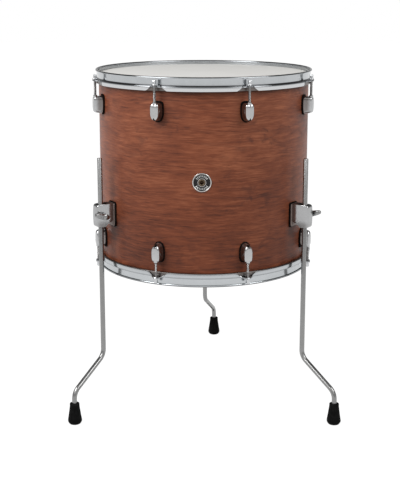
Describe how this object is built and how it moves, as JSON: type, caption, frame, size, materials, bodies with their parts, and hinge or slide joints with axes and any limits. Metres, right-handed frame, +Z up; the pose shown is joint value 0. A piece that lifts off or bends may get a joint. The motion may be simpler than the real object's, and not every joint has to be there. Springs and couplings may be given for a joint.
{
  "type": "floor tom",
  "caption": "Free-standing floor tom with a stained wood shell, chromed flanged hoops, lugs and tension rods, and bent legs in clamped brackets.",
  "frame": {"origin": "on the floor, under the middle of the whole object's box", "axes": "+Z up along the drum's axis, -Y towards the badge at the front, +X to the right seen from the front"},
  "size_m": [0.5748, 0.6004, 0.7294],
  "materials": {
    "stained_wood": "satin lacquer over reddish-brown stain, fine grain round the shell",
    "badge_metal": "dark and bright rings, no lettering",
    "bronze": "aged bronze",
    "batter_film": "coated white film",
    "resonant_film": "clear film",
    "flesh_hoop_metal": "plain rolled channel",
    "hoop_chrome": "polished chrome plate",
    "cast_chrome": "chrome on a die casting",
    "rod_chrome": "chrome, rolled thread",
    "screw_chrome": "chrome on a casting",
    "leg_chrome": "chrome on a drawn bar",
    "gasket_rubber": "matt dark gasket",
    "foot_rubber": "matt black moulded rubber"
  },
  "bodies": {
    "drum": {"shell": "stained_wood", "badge": "badge_metal", "vent_grommet": "bronze", "batter_head": "batter_film", "resonant_head": "resonant_film", "batter_lug_1": "cast_chrome", "batter_lug_2": "cast_chrome", "batter_lug_3": "cast_chrome", "batter_lug_4": "cast_chrome", "batter_lug_5": "cast_chrome", "batter_lug_6": "cast_chrome", "batter_lug_7": "cast_chrome", "batter_lug_8": "cast_chrome", "resonant_lug_1": "cast_chrome", "resonant_lug_2": "cast_chrome", "resonant_lug_3": "cast_chrome", "resonant_lug_4": "cast_chrome", "resonant_lug_5": "cast_chrome", "resonant_lug_6": "cast_chrome", "resonant_lug_7": "cast_chrome", "resonant_lug_8": "cast_chrome", "left_leg_bracket": "cast_chrome", "left_bracket_gasket": "gasket_rubber", "right_leg_bracket": "cast_chrome", "right_bracket_gasket": "gasket_rubber", "rear_leg_bracket": "cast_chrome", "rear_bracket_gasket": "gasket_rubber"},
    "batter_rim": {"batter_hoop": "hoop_chrome", "batter_flesh_hoop": "flesh_hoop_metal"},
    "batter_rod_1": {"batter_rod_1": "rod_chrome"},
    "batter_rod_2": {"batter_rod_2": "rod_chrome"},
    "batter_rod_3": {"batter_rod_3": "rod_chrome"},
    "batter_rod_4": {"batter_rod_4": "rod_chrome"},
    "batter_rod_5": {"batter_rod_5": "rod_chrome"},
    "batter_rod_6": {"batter_rod_6": "rod_chrome"},
    "batter_rod_7": {"batter_rod_7": "rod_chrome"},
    "batter_rod_8": {"batter_rod_8": "rod_chrome"},
    "resonant_rim": {"resonant_hoop": "hoop_chrome", "resonant_flesh_hoop": "flesh_hoop_metal"},
    "resonant_rod_1": {"resonant_rod_1": "rod_chrome"},
    "resonant_rod_2": {"resonant_rod_2": "rod_chrome"},
    "resonant_rod_3": {"resonant_rod_3": "rod_chrome"},
    "resonant_rod_4": {"resonant_rod_4": "rod_chrome"},
    "resonant_rod_5": {"resonant_rod_5": "rod_chrome"},
    "resonant_rod_6": {"resonant_rod_6": "rod_chrome"},
    "resonant_rod_7": {"resonant_rod_7": "rod_chrome"},
    "resonant_rod_8": {"resonant_rod_8": "rod_chrome"},
    "left_leg_assembly": {"left_leg": "leg_chrome", "left_foot": "foot_rubber"},
    "left_clamp": {"left_clamp_screw": "screw_chrome"},
    "right_leg_assembly": {"right_leg": "leg_chrome", "right_foot": "foot_rubber"},
    "right_clamp": {"right_clamp_screw": "screw_chrome"},
    "rear_leg_assembly": {"rear_leg": "leg_chrome", "rear_foot": "foot_rubber"},
    "rear_clamp": {"rear_clamp_screw": "screw_chrome"}
  },
  "joints": [
    {"name": "batter_tuning", "type": "slide", "parent": "drum", "child": "batter_rim", "axis": [0, 0, 1], "range_m": [-0.00106, 0.00106]},
    {"name": "batter_rod_1_turn", "type": "hinge", "parent": "batter_rim", "child": "batter_rod_1", "pos_m": [0.08845, -0.28867, 0.7194], "axis": [0, 0, 1], "range_deg": [-361, 361]},
    {"name": "batter_rod_2_turn", "type": "hinge", "parent": "batter_rim", "child": "batter_rod_2", "pos_m": [0.22077, -0.15635, 0.7194], "axis": [0, 0, 1], "range_deg": [-361, 361]},
    {"name": "batter_rod_3_turn", "type": "hinge", "parent": "batter_rim", "child": "batter_rod_3", "pos_m": [0.22077, 0.03079, 0.7194], "axis": [0, 0, 1], "range_deg": [-361, 361]},
    {"name": "batter_rod_4_turn", "type": "hinge", "parent": "batter_rim", "child": "batter_rod_4", "pos_m": [0.08845, 0.16311, 0.7194], "axis": [0, 0, 1], "range_deg": [-361, 361]},
    {"name": "batter_rod_5_turn", "type": "hinge", "parent": "batter_rim", "child": "batter_rod_5", "pos_m": [-0.09868, 0.16311, 0.7194], "axis": [0, 0, 1], "range_deg": [-361, 361]},
    {"name": "batter_rod_6_turn", "type": "hinge", "parent": "batter_rim", "child": "batter_rod_6", "pos_m": [-0.23101, 0.03079, 0.7194], "axis": [0, 0, 1], "range_deg": [-361, 361]},
    {"name": "batter_rod_7_turn", "type": "hinge", "parent": "batter_rim", "child": "batter_rod_7", "pos_m": [-0.23101, -0.15635, 0.7194], "axis": [0, 0, 1], "range_deg": [-361, 361]},
    {"name": "batter_rod_8_turn", "type": "hinge", "parent": "batter_rim", "child": "batter_rod_8", "pos_m": [-0.09868, -0.28867, 0.7194], "axis": [0, 0, 1], "range_deg": [-361, 361]},
    {"name": "resonant_tuning", "type": "slide", "parent": "drum", "child": "resonant_rim", "axis": [0, 0, 1], "range_m": [-0.00106, 0.00106]},
    {"name": "resonant_rod_1_turn", "type": "hinge", "parent": "resonant_rim", "child": "resonant_rod_1", "pos_m": [0.08845, -0.28867, 0.313], "axis": [0, 0, 1], "range_deg": [-361, 361]},
    {"name": "resonant_rod_2_turn", "type": "hinge", "parent": "resonant_rim", "child": "resonant_rod_2", "pos_m": [0.22077, -0.15635, 0.313], "axis": [0, 0, 1], "range_deg": [-361, 361]},
    {"name": "resonant_rod_3_turn", "type": "hinge", "parent": "resonant_rim", "child": "resonant_rod_3", "pos_m": [0.22077, 0.03079, 0.313], "axis": [0, 0, 1], "range_deg": [-361, 361]},
    {"name": "resonant_rod_4_turn", "type": "hinge", "parent": "resonant_rim", "child": "resonant_rod_4", "pos_m": [0.08845, 0.16311, 0.313], "axis": [0, 0, 1], "range_deg": [-361, 361]},
    {"name": "resonant_rod_5_turn", "type": "hinge", "parent": "resonant_rim", "child": "resonant_rod_5", "pos_m": [-0.09868, 0.16311, 0.313], "axis": [0, 0, 1], "range_deg": [-361, 361]},
    {"name": "resonant_rod_6_turn", "type": "hinge", "parent": "resonant_rim", "child": "resonant_rod_6", "pos_m": [-0.23101, 0.03079, 0.313], "axis": [0, 0, 1], "range_deg": [-361, 361]},
    {"name": "resonant_rod_7_turn", "type": "hinge", "parent": "resonant_rim", "child": "resonant_rod_7", "pos_m": [-0.23101, -0.15635, 0.313], "axis": [0, 0, 1], "range_deg": [-361, 361]},
    {"name": "resonant_rod_8_turn", "type": "hinge", "parent": "resonant_rim", "child": "resonant_rod_8", "pos_m": [-0.09868, -0.28867, 0.313], "axis": [0, 0, 1], "range_deg": [-361, 361]},
    {"name": "left_leg_height", "type": "slide", "parent": "drum", "child": "left_leg_assembly", "axis": [0, 0, 1], "range_m": [-0.09, 0.2]},
    {"name": "left_clamp_turn", "type": "hinge", "parent": "drum", "child": "left_clamp", "pos_m": [-0.21881, -0.20556, 0.433], "axis": [0.5556, -0.8315, 0], "range_deg": [0, 540]},
    {"name": "right_leg_height", "type": "slide", "parent": "drum", "child": "right_leg_assembly", "axis": [0, 0, 1], "range_m": [-0.09, 0.2]},
    {"name": "right_clamp_turn", "type": "hinge", "parent": "drum", "child": "right_clamp", "pos_m": [0.20857, -0.20556, 0.433], "axis": [0.5556, 0.8315, 0], "range_deg": [0, 540]},
    {"name": "rear_leg_height", "type": "slide", "parent": "drum", "child": "rear_leg_assembly", "axis": [0, 0, 1], "range_m": [-0.09, 0.2]},
    {"name": "rear_clamp_turn", "type": "hinge", "parent": "drum", "child": "rear_clamp", "pos_m": [-0.00512, 0.19422, 0.433], "axis": [-1, 0, 0], "range_deg": [0, 540]}
  ],
  "couplings": [
    {"joint": "batter_rod_1_turn", "follows": "batter_tuning", "rad_per_m": 5938.7},
    {"joint": "batter_rod_2_turn", "follows": "batter_tuning", "rad_per_m": 5938.7},
    {"joint": "batter_rod_3_turn", "follows": "batter_tuning", "rad_per_m": 5938.7},
    {"joint": "batter_rod_4_turn", "follows": "batter_tuning", "rad_per_m": 5938.7},
    {"joint": "batter_rod_5_turn", "follows": "batter_tuning", "rad_per_m": 5938.7},
    {"joint": "batter_rod_6_turn", "follows": "batter_tuning", "rad_per_m": 5938.7},
    {"joint": "batter_rod_7_turn", "follows": "batter_tuning", "rad_per_m": 5938.7},
    {"joint": "batter_rod_8_turn", "follows": "batter_tuning", "rad_per_m": 5938.7},
    {"joint": "resonant_rod_1_turn", "follows": "resonant_tuning", "rad_per_m": 5938.7},
    {"joint": "resonant_rod_2_turn", "follows": "resonant_tuning", "rad_per_m": 5938.7},
    {"joint": "resonant_rod_3_turn", "follows": "resonant_tuning", "rad_per_m": 5938.7},
    {"joint": "resonant_rod_4_turn", "follows": "resonant_tuning", "rad_per_m": 5938.7},
    {"joint": "resonant_rod_5_turn", "follows": "resonant_tuning", "rad_per_m": 5938.7},
    {"joint": "resonant_rod_6_turn", "follows": "resonant_tuning", "rad_per_m": 5938.7},
    {"joint": "resonant_rod_7_turn", "follows": "resonant_tuning", "rad_per_m": 5938.7},
    {"joint": "resonant_rod_8_turn", "follows": "resonant_tuning", "rad_per_m": 5938.7}
  ]
}
